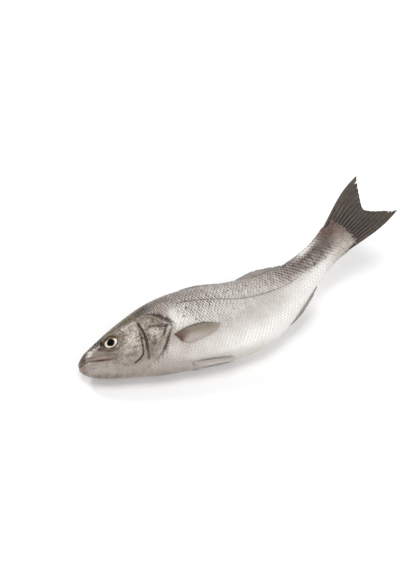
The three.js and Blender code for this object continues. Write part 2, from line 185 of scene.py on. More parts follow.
# It holds painted light: a highlight at 265 on level 0.7, and shade in the last, lowest column.
SIDE_SHADES = [
    (0, 50, 55, 85, 90, 150, 160, 160, 140),
    (15, 50, 108, 144, 140, 155, 170, 172, 150),
    (30, 60, 45, 85, 146, 136, 164, 172, 150),
    (45, 100, 118, 122, 148, 156, 156, 176, 155),
    (60, 65, 92, 154, 170, 168, 164, 176, 160),
    (75, 50, 90, 158, 138, 136, 160, 180, 150),
    (90, 55, 142, 140, 130, 156, 206, 182, 156),
    (105, 85, 126, 188, 214, 202, 192, 198, 166),
    (125, 110, 134, 156, 182, 192, 212, 212, 178),
    (150, 110, 164, 160, 184, 190, 222, 230, 200),
    (180, 115, 156, 180, 186, 202, 224, 244, 216),
    (210, 120, 152, 166, 184, 208, 226, 240, 238),
    (240, 60, 108, 106, 124, 210, 240, 236, 240),
    (265, 85, 160, 86, 110, 160, 240, 233, 222),
    (285, 85, 100, 74, 90, 146, 200, 188, 180),
    (300, 50, 66, 92, 136, 156, 168, 168, 145),
    (306, 50, 62, 94, 134, 146, 156, 150, 130),
    (314, 40, 50, 58, 76, 84, 92, 90, 80),
]

# How plainly the scales show, 0 to 1, in the same way.
SCALE_SHOW = [
    (60, 0.3, 0.3, 0.3, 0.1, 0.1, 0.1, 0.02, 0.02),
    (95, 0.4, 0.5, 0.4, 0.1, 0.1, 0.1, 0.02, 0.02),
    (108, 0.6, 0.9, 0.6, 0.3, 0.1, 0.1, 0.02, 0.02),
    (120, 0.7, 0.9, 1, 1, 0.4, 0.1, 0.02, 0.02),
    (150, 0.7, 1, 1, 1, 0.4, 0.06, 0.02, 0.02),
    (190, 0.7, 0.8, 0.8, 0.6, 0.2, 0.05, 0.02, 0.02),
    (230, 0.8, 0.8, 0.9, 0.8, 0.4, 0.1, 0.03, 0.02),
    (260, 0.8, 0.7, 1, 1, 0.6, 0.2, 0.1, 0.1),
    (285, 0.7, 0.7, 0.8, 0.8, 0.6, 0.4, 0.3, 0.3),
    (320, 0.4, 0.4, 0.4, 0.4, 0.4, 0.3, 0.3, 0.3),
]

# angle; distance from the snout to the gill cover's edge, how far it stands open there, how dark
# its edge is and how wide the dark is
# The dark at the edge is dark skin with painted shade in the slit under the cover.
GILL_EDGE = [
    (-90, 52, 0, 0, 1),
    (-74, 54, 0, 0, 1),
    (-66, 57, 0.1, 0, 1),
    (-50, 67, 0.25, 0, 1),
    (-37, 77.5, 0.6, 0.15, 1.3),
    (-31, 83, 1, 0.6, 1.6),
    (-23, 87.2, 1, 0.85, 1.8),
    (-17, 90.3, 1, 0.9, 1.7),
    (-11, 92.9, 1, 0.85, 1.6),
    (-4.8, 96, 1, 0.65, 1.3),
    (4, 100, 1, 0.5, 1.1),
    (10.7, 98.5, 1, 0.95, 3.0),
    (15.7, 96, 1, 1, 3.6),
    (22, 92.6, 1, 1, 3.6),
    (28, 88.4, 1, 1, 2.8),
    (33, 84, 0.9, 0.9, 1.8),
    (36, 80.8, 0.6, 0.6, 1.4),
    (44, 76, 0, 0, 1),
    (60, 72, 0, 0, 1),
    (90, 74, 0, 0, 1),
]


def smooth(rows):
    """A smooth curve through rows of (key, value, ...): a function from keys to the values."""
    rows = np.array(rows, float)
    keys, values = rows[:, 0], rows[:, 1:]
    gaps = np.diff(keys)[:, None]
    slopes = np.diff(values, axis=0) / gaps
    inner = (slopes[:-1] * gaps[1:] + slopes[1:] * gaps[:-1]) / (gaps[1:] + gaps[:-1])
    tangents = np.vstack([slopes[:1], inner, slopes[-1:]])

    def at(key):
        key = np.asarray(key, float)
        i = np.clip(np.searchsorted(keys, key, "right") - 1, 0, len(keys) - 2)
        span = (keys[i + 1] - keys[i])[..., None]
        u = (key - keys[i])[..., None] / span
        return (
            (2 * u**3 - 3 * u**2 + 1) * values[i]
            + (u**3 - 2 * u**2 + u) * span * tangents[i]
            + (3 * u**2 - 2 * u**3) * values[i + 1]
            + (u**3 - u**2) * span * tangents[i + 1]
        )

    return at


def lerp(a, b, u):
    return a + (b - a) * u


def share(u):
    """Held between 0 and 1."""
    return np.clip(u, 0, 1)


def ease(u):
    """0 below 0, 1 above 1, and smooth between."""
    u = share(u)
    return u * u * (3 - 2 * u)


profile, bend = smooth(PROFILE), smooth(BEND)
lateral_height = smooth(LATERAL_LINE)
gill_edge = smooth(GILL_EDGE)
side_shades = smooth(SIDE_SHADES)
scale_show = smooth(SCALE_SHOW)

SPINE_STEPS, SPINE_END = 480, 1.3


def walk_spine():
    """The spine as points with a tangent to the tail, up to the back and side to the left."""
    stations = np.linspace(0, SPINE_END, SPINE_STEPS + 1)
    heading, climb, roll = np.radians(bend(stations)).T
    flat = np.zeros_like(heading)
    tangent = np.stack(
        [np.cos(heading) * np.cos(climb), np.sin(heading) * np.cos(climb), np.sin(climb)], 1
    )
    level = np.stack([-np.sin(heading), np.cos(heading), flat], 1)
    up = level * np.cos(roll)[:, None] + np.cross(tangent, level) * np.sin(roll)[:, None]
    steps = tangent[:-1] * (SPINE_END / SPINE_STEPS * BODY_LENGTH)
    points = np.vstack([np.zeros(3), np.cumsum(steps, axis=0)])
    return stations, points, tangent, up, np.cross(tangent, up)


spine = walk_spine()
shift = np.zeros(3)


def spine_frame(s):
    stations, *columns = spine
    station = np.clip(np.asarray(s, float) / BODY_LENGTH, 0, SPINE_END)
    mixed = [
        np.stack([np.interp(station, stations, column[:, k]) for k in range(3)], -1)
        for column in columns
    ]
    point, tangent, up, side = mixed
    unit = [axis / np.linalg.norm(axis, axis=-1, keepdims=True) for axis in (tangent, up, side)]
    return point + shift, *unit


def section(s):
    """Height of the back, depth of the belly, half width and widest level at s."""
    s = np.asarray(s, float)
    back, belly, half, level = np.moveaxis(profile(share(s / BODY_LENGTH)), -1, 0)
    to_snout = share(s / SNOUT_ROUNDING)
    to_tail = share((BODY_LENGTH - s) / PEDUNCLE_ROUNDING)
    r, t = np.sqrt(1 - (1 - to_snout) ** 2), np.sqrt(1 - (1 - to_tail) ** 2)
    full = r * t * BODY_DEPTH
    return back * full, belly * full, half * BODY_WIDTH * r * np.sqrt(t), level * full


def height_at(s, angle):
    back, belly, _, level = section(s)
    sine = np.sin(np.radians(angle))
    return level + np.where(sine > 0, back - level, belly + level) * sine


def smooth_skin(s, angle, side):
    point, _, up, out = spine_frame(s)
    half = section(s)[2]
    reach = half * np.cos(np.radians(angle)) * side
    return point + up * height_at(s, angle)[..., None] + out * reach[..., None]


def skin_normal(s, angle, side):
    ds, da = 0.4, 0.6
    s = np.clip(s, ds + 0.05, BODY_LENGTH - ds - 0.05)
    along = smooth_skin(s + ds, angle, side) - smooth_skin(s - ds, angle, side)
    around = smooth_skin(s, angle + da, side) - smooth_skin(s, angle - da, side)
    normal = np.cross(along, around) * np.asarray(side)[..., None]
    return normal / np.linalg.norm(normal, axis=-1, keepdims=True)


def on_skin(s, angle, side, out=0.0):
    """Points on one side of the fish, or out from its skin."""
    s, angle, side, out = np.broadcast_arrays(s, angle, side, out)
    return smooth_skin(s, angle, side) + skin_normal(s, angle, side) * out[..., None]


def on_middle(s, height, off):
    """Points at a height over the spine, off to one side of the fish's middle sheet."""
    point, _, up, side = spine_frame(s)
    s, height, off = np.broadcast_arrays(s, height, off)
    return point + up * height[..., None] + side * off[..., None]


def settle():
    """How far the fish stands from the spine's first frame: its flank is flattened by SETTLE."""
    s, angle = np.meshgrid(np.linspace(5, 300, 300), np.linspace(-90, 90, 121))
    lowest = smooth_skin(s, angle, np.full_like(s, RIGHT))[..., 2].min()
    rest = spine_frame(REST_STATION * BODY_LENGTH)[0]
    return np.array([-rest[0], -rest[1], -(lowest + SETTLE)])


shift = settle()

# ---- drawing on the side


def line_distance(s, h, line):
    """Distance to a line on the side, and which side of it: above or behind is positive."""
    line = np.array(line, float)
    best = np.full(np.shape(s), 1e9)
    sign = np.ones(np.shape(s))
    for (s0, h0), (s1, h1) in zip(line[:-1], line[1:], strict=True):
        ds, dh = s1 - s0, h1 - h0
        u = share(((s - s0) * ds + (h - h0) * dh) / (ds * ds + dh * dh))
        gap = np.hypot(s - s0 - u * ds, h - h0 - u * dh)
        nearer = gap < best
        best = np.where(nearer, gap, best)
        sign = np.where(nearer, np.sign(ds * (h - h0) - dh * (s - s0)), sign)
    return best, sign


def stroke(s, h, line, width):
    """1 near the line, fading smoothly to 0 at width from it."""
    return ease(1.7 * (1 - line_distance(s, h, line)[0] / width))


def blot(s, h, place, radius):
    return ease(1 - np.hypot(s - place[0], h - place[1]) / radius)


def oval(s, h, place, length, height):
    return ease(1 - np.hypot((s - place[0]) / length, (h - place[1]) / height))


def side_value(table, s, angle):
    """A value of a table along the side, at the height of an angle."""
    values = table(s)[..., ::-1]
    level = np.sin(np.radians(angle))
    i = np.clip(np.searchsorted(LEVELS, level, "right") - 1, 0, len(LEVELS) - 2)
    low = np.take_along_axis(values, i[..., None], -1)[..., 0]
    high = np.take_along_axis(values, i[..., None] + 1, -1)[..., 0]
    return lerp(low, high, (level - LEVELS[i]) / (LEVELS[i + 1] - LEVELS[i]))


def shade_at(s, angle):
    """How light the side is, from 0 to 1: its own tone, with the painted highlights and shade of the
    tables.
    """
    h = height_at(s, angle)
    shade = side_value(side_shades, s, angle)
    for *place, length, height, change in PATCHES:
        shade = shade + change * oval(s, h, place, length, height)
    shade = shade - BACK_DARKENING * ease((angle - 68) / 16)
    return np.clip(shade / LIGHTEST, 0.1, 1)


# ---- meshes


def start_mesh():
    if bpy.context.object and bpy.context.object.mode != "OBJECT":
        bpy.ops.object.mode_set(mode="OBJECT")
    bpy.ops.object.select_all(action="DESELECT")


def ball(name, segments, rings):
    """A ball whose rings and segments are numbered, ready to be drawn out into a closed skin."""
    start_mesh()
    bpy.ops.mesh.primitive_uv_sphere_add(segments=segments, ring_count=rings, radius=1)
    piece = bpy.context.object
    piece.name = piece.data.name = name
    co = read_points(piece)
    ring = np.rint(np.arccos(np.clip(co[:, 2], -1, 1)) / math.pi * rings).astype(int)
    turn = np.arctan2(co[:, 1], co[:, 0]) / (2 * math.pi) * segments
    return piece, ring, np.rint(turn).astype(int) % segments


def plate(name, across, along):
    """A thin closed plate: the share across and along it of each corner, and its face, 1 or -1."""
    start_mesh()
    bpy.ops.mesh.primitive_grid_add(x_subdivisions=across, y_subdivisions=along, size=1)
    piece = bpy.context.object
    piece.name = piece.data.name = name
    bpy.ops.object.mode_set(mode="EDIT")
    bpy.ops.mesh.select_all(action="SELECT")
    bpy.ops.mesh.extrude_region_move(TRANSFORM_OT_translate={"value": (0, 0, 1)})
    bpy.ops.object.mode_set(mode="OBJECT")
    co = read_points(piece)
    return piece, co[:, 0] + 0.5, co[:, 1] + 0.5, np.where(co[:, 2] > 0.5, 1, -1)


def read_points(piece):
    co = np.empty(len(piece.data.vertices) * 3)
    piece.data.vertices.foreach_get("co", co)
    return co.reshape(-1, 3)


def place_points(piece, points):
    """Moves the piece's corners to points in millimetres, none lower than the floor."""
    points = np.array(points)
    points[:, 2] = np.maximum(points[:, 2], 0)
    piece.data.vertices.foreach_set("co", (points * MM).ravel())
    piece.data.update()


def turn_faces_out(piece):
    start_mesh()
    piece.select_set(True)
    bpy.context.view_layer.objects.active = piece
    bpy.ops.object.mode_set(mode="EDIT")
    bpy.ops.mesh.select_all(action="SELECT")
    bpy.ops.mesh.normals_make_consistent(inside=False)
    bpy.ops.object.mode_set(mode="OBJECT")
    bpy.ops.object.shade_smooth()


def paint(piece, name, values):
    """A value at each corner, for the material to read."""
    layer = piece.data.attributes.new(name, "FLOAT", "POINT")
    layer.data.foreach_set("value", np.asarray(values, float).ravel())


def bake_map(piece, u, v, ring_closes=False):
    """The piece's flat map, from a place in the unit square for each corner."""
    mesh = piece.data
    corner = np.empty(len(mesh.loops), int)
    mesh.loops.foreach_get("vertex_index", corner)
    us, vs = np.asarray(u)[corner], np.asarray(v)[corner]
    if ring_closes:
        first = np.empty(len(mesh.polygons), int)
        total = np.empty(len(mesh.polygons), int)
        mesh.polygons.foreach_get("loop_start", first)
        mesh.polygons.foreach_get("loop_total", total)
        face = np.repeat(np.arange(len(first)), total)
        widest = np.maximum.reduceat(vs, first)
        vs = np.where((widest[face] - vs) > 0.5, vs + 1, vs) / 1.01
    layer = mesh.uv_layers.new(name="OFBake")
    layer.data.foreach_set("uv", np.stack([us, vs], 1).astype(float).ravel())


def finish_piece(piece, material, node=None):
    """Gives a piece its material and hangs it under the root; hides the CAD part it replaces, if
    any.
    """
    piece.data.materials.clear()
    piece.data.materials.append(material)
    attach(piece, "root")
    if node:
        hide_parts(node)


# ---- materials


def srgb(r, g, b):
    """A colour from 0 to 255 as the shader's linear numbers."""
    return tuple(
        c / 255 / 12.92 if c < 10.3 else ((c / 255 + 0.055) / 1.055) ** 2.4 for c in (r, g, b)
    )


class Shader:
    """A node material on one Principled shader, built up with short calls."""

    def __init__(self, name):
        self.material = bpy.data.materials.new(name)
        self.material.use_nodes = True
        self.nodes = self.material.node_tree.nodes
        self.links = self.material.node_tree.links
        self.skin = self.nodes["Principled BSDF"]

    def set(self, **values):
        for name, value in values.items():
            self.skin.inputs[name.replace("_", " ")].default_value = value

    def feed(self, socket, source):
        self.links.new(source, self.skin.inputs[socket])

    def plug(self, socket, value):
        """Links a socket to another one, or sets it to a number or a colour."""
        if isinstance(value, bpy.types.NodeSocket):
            self.links.new(value, socket)
        else:
            socket.default_value = (*value, 1) if isinstance(value, tuple) else value

    def node(self, kind, *values, **named):
        made = self.nodes.new(kind)
        for socket, value in zip(made.inputs, values, strict=False):
            self.plug(socket, value)
        for name, value in named.items():
            self.plug(made.inputs[name], value)
        return made

    def value(self, name):
        """A value painted on the piece's corners."""
        made = self.nodes.new("ShaderNodeAttribute")
        made.attribute_name = name
        return made.outputs["Fac"]

    def place(self):
        return self.nodes.new("ShaderNodeTexCoord").outputs["Object"]

    def noise(self, size, detail, rough=0.55):
        """Mottling whose blotches are about size millimetres across."""
        grain = {"Scale": 1 / (size * MM), "Detail": detail, "Roughness": rough}
        return self.node("ShaderNodeTexNoise", Vector=self.place(), **grain).outputs["Fac"]

    def cells(self, size):
        made = self.node("ShaderNodeTexVoronoi", Vector=self.place(), Scale=1 / (size * MM))
        return made.outputs["Distance"], made.outputs["Color"]

    def maths(self, kind, a, b, clamp=False):
        made = self.node("ShaderNodeMath", a, b)
        made.operation = kind
        made.use_clamp = clamp
        return made.outputs[0]

    def plus(self, a, b, clamp=False):
        return self.maths("ADD", a, b, clamp)

    def times(self, a, b, clamp=False):
        return self.maths("MULTIPLY", a, b, clamp)

    def span(self, value, low, high, to_low=0.0, to_high=1.0):
        return self.node("ShaderNodeMapRange", value, low, high, to_low, to_high).outputs[0]

    def drift(self, mottling, low, high):
        """Mottling drawn out to run from low to high."""
        return self.span(mottling, 0.3, 0.7, low, high)

    def ramp(self, value, stops, ease_between=True):
        made = self.node("ShaderNodeValToRGB", Fac=value)
        made.color_ramp.interpolation = "EASE" if ease_between else "LINEAR"
        while len(made.color_ramp.elements) < len(stops):
            made.color_ramp.elements.new(0.5)
        for element, (position, colour) in zip(made.color_ramp.elements, stops, strict=True):
            element.position = position
            element.color = (*srgb(*colour), 1)
        return made.outputs["Color"]

    def mix(self, factor, a, b):
        made = self.nodes.new("ShaderNodeMix")
        made.data_type = "RGBA"
        for number, value in ((0, factor), (6, a), (7, b)):
            self.plug(made.inputs[number], value)
        return made.outputs[2]

    def bump(self, height, depth, strength, under=None):
        """Fine relief of the given depth in millimetres."""
        made = self.node("ShaderNodeBump", Height=height, Distance=depth * MM, Strength=strength)
        if under:
            self.plug(made.inputs["Normal"], under)
        return made.outputs[0]


# The fish's colours from dark to light, at how light the skin is there.
FISH_COLOURS = [
    (0.2, (20, 14, 10)),
    (0.39, (76, 63, 54)),
    (0.55, (130, 118, 108)),
    (0.7, (177, 168, 160)),
    (0.82, (208, 202, 195)),
    (0.94, (241, 239, 235)),
]


def wet(shader, coat):
    shader.set(Coat_Weight=coat, Coat_Roughness=0.12, IOR=1.4)


def skin_material():
    m = Shader("wet bare skin")
    shade, ink_and_shade, speckle = m.value("shade"), m.value("ink_and_shade"), m.value("speckle")
    flush, olive = m.value("flush"), m.value("olive")
    blotch = m.noise(7, 5)
    fine = m.noise(0.9, 3)
    gap, tint = m.cells(1.5)
    luck = m.node("ShaderNodeSeparateColor", Color=tint).outputs[0]
    shade = m.plus(shade, m.drift(blotch, -0.05, 0.05))
    spots = m.plus(m.span(luck, 0, 1, -0.13, 0.13), m.drift(fine, -0.15, 0.15))
    shade = m.plus(shade, m.times(spots, speckle))
    colour = m.ramp(shade, FISH_COLOURS)
    gold = m.times(m.span(m.noise(2.4, 3), 0.5, 0.68), speckle)
    colour = m.mix(m.times(gold, 0.45), colour, srgb(214, 198, 166))
    colour = m.mix(m.times(olive, 0.65), colour, srgb(106, 91, 62))
    colour = m.mix(m.times(flush, 0.5), colour, srgb(166, 132, 124))
    # Dark skin and painted shade at the creases, slits and pits, ragged at its edges.
    torn = m.noise(1.6, 4, 0.7)
    ragged = m.times(ink_and_shade, m.span(torn, 0.38, 0.58, 0.6, 1.2), clamp=True)
    m.feed("Base Color", m.mix(ragged, colour, srgb(42, 22, 12)))
    wet(m, 0.16)
    m.feed("Roughness", m.drift(blotch, 0.26, 0.42))
    m.set(Specular_IOR_Level=0.32, Subsurface_Weight=0.06, Subsurface_Scale=0.003)
    relief = m.bump(fine, 0.2, 0.5)
    m.feed("Normal", m.bump(gap, 0.2, 0.5, relief))
    return m.material


def scale_material():
    m = Shader("wet silver scales")
    shade, luck, edge = m.value("shade"), m.value("luck"), m.value("edge")
    show, line = m.value("show"), m.value("line")
    blotch = m.noise(12, 4)
    shade = m.plus(shade, m.drift(blotch, -0.02, 0.02))
    # Random tone per scale, a painted highlight along its free edge, and painted shade in its
    # pocket.
    change = m.plus(m.span(luck, 0, 1, -0.15, 0.05), m.span(edge, 0.64, 0.84, 0, 0.34))
    change = m.maths("SUBTRACT", change, m.times(m.value("pocket_shade"), 0.5))
    shade = m.plus(shade, m.times(change, show))
    colour = m.ramp(shade, FISH_COLOURS)
    mauve = m.times(m.span(shade, 0.6, 0.42), m.span(blotch, 0.35, 0.65, 0.1, 0.3))
    colour = m.mix(mauve, colour, srgb(122, 104, 108))
    russet = m.times(m.value("russet"), m.span(blotch, 0.35, 0.65, 0.15, 0.45))
    colour = m.mix(russet, colour, srgb(138, 104, 90))
    m.feed("Base Color", m.mix(m.times(line, 0.85), colour, srgb(62, 54, 48)))
    wet(m, 0.45)
    m.feed("Roughness", m.span(m.times(luck, show), 0, 1, 0.3, 0.42))
    m.set(Metallic=0.1)
    m.feed("Normal", m.bump(m.noise(0.5, 2), 0.05, 0.4))
    return m.material


def fin_material(name, dark, light, rooty, inky, pale=None, coat=0.3, rim=0.0):
    """A finish for rayed skin: dark and light mottle, the root, and how inky the gaps between
    rays are. Pale is its thin lower part, and rim how dark its margin is."""
    m = Shader(name)
    ray, reach, across = m.value("ray"), m.value("reach"), m.value("across")
    mottle = m.noise(5, 4)
    deep = srgb(*dark)
    colour = m.mix(m.drift(mottle, 0, 1), deep, srgb(*light))
    if pale:
        colour = m.mix(m.span(across, 0.38, 0.75, 0, 0.95), colour, srgb(*pale))
        colour = m.mix(m.span(reach, 0.72, 1.0, 0, 0.55), colour, srgb(*pale))
        colour = m.mix(m.span(across, 0.13, 0.02, 0, 0.8), colour, tuple(c * 0.35 for c in deep))
    colour = m.mix(m.times(ray, inky), colour, tuple(c * 0.1 for c in deep))
    if rim:
        colour = m.mix(m.span(reach, 0.8, 0.95, 0, rim), colour, srgb(70, 62, 56))
    root = m.plus(m.span(reach, 0.34, 0.08), m.drift(mottle, -0.2, 0.2), clamp=True)
    m.feed("Base Color", m.mix(root, colour, srgb(*rooty)))
    wet(m, coat)
    m.feed("Roughness", m.drift(mottle, 0.34, 0.5))
    m.set(Specular_IOR_Level=0.3, Subsurface_Weight=0.08, Subsurface_Scale=0.002)
    m.feed("Normal", m.bump(m.noise(0.6, 3), 0.08, 0.5))
    return m.material


def eye_material():
    m = Shader("wet eye")
    pupil, ring, dark_top_and_brow_shade = m.value("pupil"), m.value("ring"), m.value("dark_top_and_brow_shade")
    streaks = m.noise(1.4, 3)
    iris = m.ramp(
        m.plus(ring, m.drift(streaks, -0.04, 0.04)),
        [
            (0.3, (170, 150, 116)),
            (0.6, (214, 200, 180)),
            (0.78, (232, 222, 208)),
            (0.92, (166, 150, 126)),
            (1.0, (88, 73, 56)),
        ],
        ease_between=False,
    )
    # The iris's top is darker: its own colour there, and painted shade of the brow over it.
    iris = m.mix(m.times(dark_top_and_brow_shade, 0.9), iris, srgb(72, 54, 28))
    edge = m.plus(pupil, m.drift(streaks, -0.05, 0.05))
    colour = m.mix(m.span(edge, 1.02, 0.92), iris, srgb(5, 5, 6))
    m.feed("Base Color", colour)
    m.set(Roughness=0.3, Coat_Weight=0.03, Coat_Roughness=0.03, Specular_IOR_Level=0.03)
    return m.material


# ---- the bare skin

SKIN_SEGMENTS_LEFT, SKIN_SEGMENTS_RIGHT = 164, 72
SKIN_MAP_LENGTH = 310
GILL = 96  # nominal distance of the ring of corners that follows the gill cover's edge
GILL_LEAD = 3.4  # how far before it the rings' plain spacing stops

# The rings round the gill slit: plain spacing, spacing where the cover stands open, and height.
GILL_RINGS = [
    (-2.8, -2.8, 0.95),
    (-2.2, -1.6, 1.0),
    (-1.6, -0.7, 1.0),
    (-1.0, -0.2, 0.85),
    (-0.4, 0.0, 0.5),
    (0.2, -0.2, 0.15),
    (0.8, -1.3, -0.3),
    (1.4, -1.4, -0.7),
    (2.0, 0.4, -0.6),
    (2.6, 1.6, -0.35),
    (3.2, 3.2, 0.0),
]


def ring_table():
    """Nominal distance of each ring from the snout, with the gill slit's offsets."""
    plain = np.concatenate([
        np.linspace(0, 12, 30, endpoint=False),
        np.linspace(12, GILL - GILL_LEAD, 128, endpoint=False),
    ])
    behind = np.concatenate([
        np.linspace(GILL + 4, 290, 170, endpoint=False),
        np.linspace(290, BODY_LENGTH, 22),
    ])
    rows = [(t, 0, 0, 0) for t in plain]
    rows += [(GILL, flat, open_, high) for flat, open_, high in GILL_RINGS]
    rows += [(t, 0, 0, 0) for t in behind]
    return np.array(rows)


def even_angles(count):
    """Angles from the back to the belly, evenly spaced on an ellipse twice as high as wide."""
    a = np.linspace(90, -90, 721)
    steps = np.hypot(np.sin(np.radians(a)), 2 * np.cos(np.radians(a)))
    run = np.concatenate([[0], np.cumsum((steps[1:] + steps[:-1]) / 2)])
    return np.interp(np.linspace(0, run[-1], count + 1), run, a)


def skin_grid(ring, segment):
    """Distance from the snout, angle, side and gill height of each corner of the skin."""
    left, right = even_angles(SKIN_SEGMENTS_LEFT), even_angles(SKIN_SEGMENTS_RIGHT)[::-1]
    angles = np.concatenate([left[:-1], right[:-1]])
    sides = np.repeat([LEFT, RIGHT], [SKIN_SEGMENTS_LEFT, SKIN_SEGMENTS_RIGHT])
    angle, side = angles[segment], sides[segment]
    nominal, flat, open_, high = ring_table()[ring].T
    edge, ajar = gill_edge(angle)[:, :2].T
    ajar = share(ajar)
    pull = np.where(
        nominal <= GILL,
        np.minimum(nominal / (GILL - GILL_LEAD), 1) ** 1.3,
        1 - ease((nominal - GILL) / 95),
    )
    s = nominal + flat + (edge - GILL) * pull + ajar * (open_ - flat)
    cover = ease(1 - (edge - 2.8 - s) / 13) * (nominal < GILL)
    return np.clip(s, 0, BODY_LENGTH), angle, side, ajar * (high + 0.95 * cover * (high == 0))


# Plates of the head: edge line, height and width of the lip along it, the side that the lip is
# on, and depth and width of the groove.
PLATES = [
    (MAXILLA, 0.4, 1.6, -1, 0.4, 0.9),
    (PREOPERCLE, 0.7, 6, -1, 0.75, 1.2),
    (INTEROPERCLE, 0.5, 3.5, 1, 0.8, 1.2),
]
# Ribs and folds: height, or depth below 0, line and width.
FOLDS = [
    (-0.5, SUBOPERCLE, 1.1),
    (0.45, OPERCLE_RIB, 2.0),
    (0.3, UPPER_RIB, 2.2),
    (-0.4, JAW_FOLD, 2.0),
    (-0.5, THROAT_FOLD, 1.8),
    (-0.08, NAPE_LINE, 3.0),
    (-0.5, EYE_CREASE, 2.0),
]


def head_relief(s, h):
    """Height of the bare skin's folds, plates and pits over the smooth body, in mm."""
    fade = ease((104 - s) / 6)
    mouth_gap, mouth_side = line_distance(s, h, MOUTH)
    relief = -lerp(0.55, 1.0, ease((s - 10) / 8)) * ease(1 - mouth_gap / 1.0)
    lips = ease(1 - abs(mouth_gap - 1.9) / 1.6) * ease((36 - s) / 10)
    relief += lips * np.where(mouth_side > 0, 0.45, 0.5)
    for line, lip, lip_width, lip_side, depth, width in PLATES:
        gap, side = line_distance(s, h, line)
        relief += lip * ease(1 - gap / lip_width) * (side * lip_side > 0)
        relief -= depth * ease(1 - gap / width)
    for height, line, width in FOLDS:
        relief += height * stroke(s, h, line, width)
    relief += 0.5 * blot(s, h, (82, 3), 15)
    for place, radius in NOSTRILS:
        relief -= 1.5 * blot(s, h, place, radius * 1.5)
        relief += 0.3 * ease(1 - abs(np.hypot(s - place[0], h - place[1]) - 1.8 * radius) / 0.8)
    return relief * fade


EYE_OPENING = 6.6  # half height of the opening in the skin; it is as long as the eye


def eye_axes(side):
    """The eye's middle on the skin, the way it looks, and the ways to the tail and the back."""
    s, angle = EYE_PLACE
    place = on_skin(s, angle, side)
    axis = skin_normal(np.array(s), np.array(angle), np.array(side))
    tailward = on_skin(s + 1, angle, side) - place
    tailward -= (tailward @ axis) * axis
    tailward /= np.linalg.norm(tailward)
    backward = np.cross(axis, tailward) * side
    return place, axis, tailward, backward


def across_eye(points, side):
    """How far points lie from that side's eye, towards the tail and towards the back."""
    place, _, tailward, backward = eye_axes(side)
    return (points - place) @ tailward, (points - place) @ backward


def socket_relief(points, side):
    """The rim and pit round the eyes, and the distance outside each eye's opening."""
    gaps = []
    for flank in (LEFT, RIGHT):
        x, y = across_eye(points, flank)
        y = (y + 0.5) * EYE_RADIUS / EYE_OPENING
        gaps.append(np.hypot(x, y) - EYE_RADIUS)
    gap = np.where(side > 0, gaps[0], gaps[1])
    rim = 0.7 * ease(1 - abs(gap - 1.0) / 1.5)
    pit = -5.5 * ease((0.1 - gap) / 1.0)
    ditch = -0.25 * ease(1 - abs(gap - 3.2) / 1.4)
    return rim + pit + ditch, gap


def ink_and_shade_at(s, h, gap, angle):
    """How dark the head is: its dark skin, and painted shade in its creases, slits and pits."""
    edge, _, dark, width = np.moveaxis(gill_edge(angle), -1, 0)
    # Dark along the mouth and the grooves of the plates and folds, as painted shade, and on the
    # ribs.
    strokes = [
        (lerp(0.12, 0.5, ease((s - 12) / 8)) * ease((35 - s) / 6), MOUTH, 1.6),
        (0.3, MAXILLA, 1.2),
        (lerp(0.3, 0.85, ease((14 - h) / 8)), PREOPERCLE, 1.3),
        (lerp(0.65, 1.0, ease((h + 9) / 8)), INTEROPERCLE, 2.1),
        (lerp(0.15, 0.9, ease((h + 5) / 6)), SUBOPERCLE, 1.6),
        (0.7 * ease((s - 72) / 8), OPERCLE_RIB, 1.7),
        (0.3, UPPER_RIB, 1.5),
        (0.1, NAPE_LINE, 2.4),
        (0.4, EYE_CREASE, 2.4),
    ]
    ink_and_shade = [strength * stroke(s, h, line, width_) for strength, line, width_ in strokes]
    # the gill slit's edge: dark skin, and painted shade in the slit under the cover
    off_gill = abs(s - edge + 0.7) / (1.35 * np.maximum(width, 0.8))
    ink_and_shade.append(share(dark) * ease(1.7 * (1 - off_gill)))
    # painted shade in the seam round the eye, and painted shade and dark skin under the brow above
    # it
    ink_and_shade.append(0.6 * ease(1 - abs(gap) / 1.0))
    ink_and_shade.append(0.75 * ease(1 - gap / 4) * ease((h - 12) / 4))
    ink_and_shade += [dark * oval(s, h, place, length, rise) for *place, length, rise, dark in NOSTRIL_DARK_AND_SHADE]
    # painted shade in the nostrils' hollows
    for place, radius in NOSTRILS:
        ink_and_shade.append(blot(s, h, place, radius * 2.2))
    return np.max(ink_and_shade, axis=0)


def skin_paints(s, h, gap, angle):
    """How strongly each colour of the skin, and its painted light and shade, shows at its corners.
    """
    flush = 0.4 * ease((14 - s) / 10) * (h < -2) + 0.7 * blot(s, h, (120, -41), 16)
    flush += 0.6 * ease((s - 288) / 12) + 0.5 * blot(s, h, (24, -4), 9)
    flush += 0.3 * blot(s, h, (60, -26), 22)
    flush += 0.4 * stroke(s, h, MOUTH, 3.0) * ease((s - 12) / 6)
    olive = 1.2 * blot(s, h, (39, 19), 10) + 0.7 * blot(s, h, (62, 30), 18)
    olive += 0.5 * blot(s, h, (49, 12), 7) + 0.4 * ease((angle - 45) / 20) * ease((90 - s) / 30)
    speckle = 0.25 + 0.75 * blot(s, h, (60, 8), 26) + 0.75 * blot(s, h, (84, 6), 20)
    return {
        "shade": shade_at(s, angle),
        "ink_and_shade": ink_and_shade_at(s, h, gap, angle),
        "flush": share(flush),
        "olive": share(olive),
        "speckle": share(speckle) * ease((h + 20) / 10),
    }


